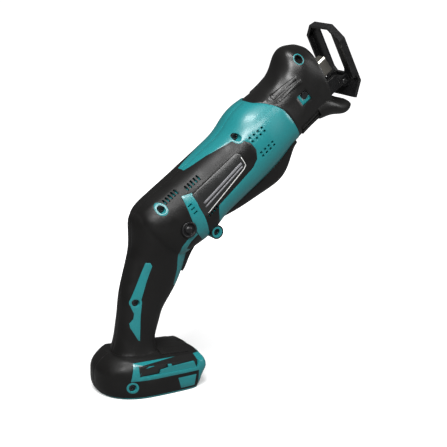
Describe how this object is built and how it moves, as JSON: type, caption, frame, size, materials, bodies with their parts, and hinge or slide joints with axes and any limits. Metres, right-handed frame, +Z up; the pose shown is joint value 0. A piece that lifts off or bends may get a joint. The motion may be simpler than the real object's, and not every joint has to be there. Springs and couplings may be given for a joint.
{
  "type": "cordless reciprocating saw",
  "caption": "Compact cordless reciprocating saw with a tilted barrel, reciprocating blade slider, hinged slotted shoe and open battery foot, without battery or blade.",
  "frame": {"origin": "middle of the underside of the battery foot, on its centre plane", "axes": "+Z up, +X towards the blade end, +Y to the left of a person holding the tool; the stroke axis rises 36 degrees above +X"},
  "size_m": [0.2716, 0.0756, 0.3237],
  "materials": {
    "hard_shell": "blue-green glass-filled nylon with a fine satin grain",
    "grip_rubber": "soft black overmoulded elastomer",
    "boot_rubber": "black rubber, smooth with a soft sheen",
    "cast_alloy": "as-cast alloy",
    "plate_film": "blank dark printed film",
    "dark_screws": "black oxide steel",
    "bearing_bronze": "oil-filled sintered bronze",
    "felt": "pressed wool felt",
    "ground_steel": "ground steel",
    "brushed_slider": "milled steel with a lengthwise grain",
    "zinc_steel": "drawn zinc-plated steel",
    "magnet": "sintered ferrite",
    "black_plastic": "fine-grained black nylon",
    "carbon": "pressed carbon",
    "copper": "enamelled copper",
    "core_steel": "stacked lamination steel",
    "clear_lens": "clear polycarbonate",
    "board": "green solder mask",
    "shoe_black": "black powder-coated pressed steel",
    "contact_brass": "plated spring brass"
  },
  "bodies": {
    "tool": {"shell_right": "hard_shell", "shell_left": "hard_shell", "window_liner": "hard_shell", "grip_skin_right": "grip_rubber", "grip_skin_left": "grip_rubber", "front_grip_pad": "grip_rubber", "foot_top_pad": "grip_rubber", "nose_boot": "boot_rubber", "gear_case": "cast_alloy", "bearing_box": "cast_alloy", "blank_side_plates": "plate_film", "shell_screws": "dark_screws", "nose_screw": "dark_screws", "shoe_clamp_bolt": "dark_screws", "rear_slider_guide": "bearing_bronze", "front_slider_guide": "bearing_bronze", "dust_seal": "felt", "crank_axle": "ground_steel", "front_bearing": "ground_steel", "rear_bearing": "ground_steel", "motor_can": "zinc_steel", "field_magnets": "magnet", "end_bell": "black_plastic", "carbon_brushes": "carbon", "led_lens": "clear_lens", "led_board": "board", "controller_board": "board", "board_components": "black_plastic", "switch_body": "black_plastic", "terminal_block": "black_plastic", "terminal_contacts": "contact_brass"},
    "rotor": {"rotor_shaft": "ground_steel", "commutator": "copper", "armature_core": "core_steel", "armature_windings": "copper", "cooling_fan": "black_plastic", "pinion": "ground_steel"},
    "crank": {"crank_gear": "ground_steel", "crank_pin": "ground_steel"},
    "blade_slider": {"slider": "brushed_slider", "blade_clamp_plate": "brushed_slider", "blade_clamp_bolt": "dark_screws"},
    "shoe_carrier": {"shoe_bracket": "shoe_black"},
    "shoe": {"shoe": "shoe_black", "shoe_pin": "ground_steel"},
    "trigger": {"trigger": "black_plastic"},
    "lock_button": {"lock_off_button": "black_plastic"}
  },
  "joints": [
    {"name": "rotor_spin", "type": "hinge", "parent": "tool", "child": "rotor", "pos_m": [0.06081, 0, 0.1715], "axis": [0.809, 0, 0.5878], "continuous": true},
    {"name": "crank_spin", "type": "hinge", "parent": "tool", "child": "crank", "pos_m": [0.13406, 0, 0.22039], "axis": [-0.5878, 0, 0.809], "continuous": true},
    {"name": "blade_stroke", "type": "slide", "parent": "tool", "child": "blade_slider", "axis": [0.809, 0, 0.5878], "range_m": [-0.009, 0.004]},
    {"name": "shoe_reach", "type": "slide", "parent": "tool", "child": "shoe_carrier", "axis": [0.809, 0, 0.5878], "range_m": [0, 0.012]},
    {"name": "shoe_tilt", "type": "hinge", "parent": "shoe_carrier", "child": "shoe", "pos_m": [0.214, 0, 0.26858], "axis": [0, 1, 0], "range_deg": [-15, 0]},
    {"name": "trigger_pull", "type": "slide", "parent": "tool", "child": "trigger", "axis": [-0.9455, 0, 0.3256], "range_m": [0, 0.005], "stiffness_N_per_m": 900, "springref_m": -0.004},
    {"name": "lock_off_push", "type": "slide", "parent": "tool", "child": "lock_button", "axis": [0, 1, 0], "range_m": [0, 0.004]}
  ],
  "couplings": [
    {"joint": "crank_spin", "follows": "rotor_spin", "ratio": -0.25}
  ]
}
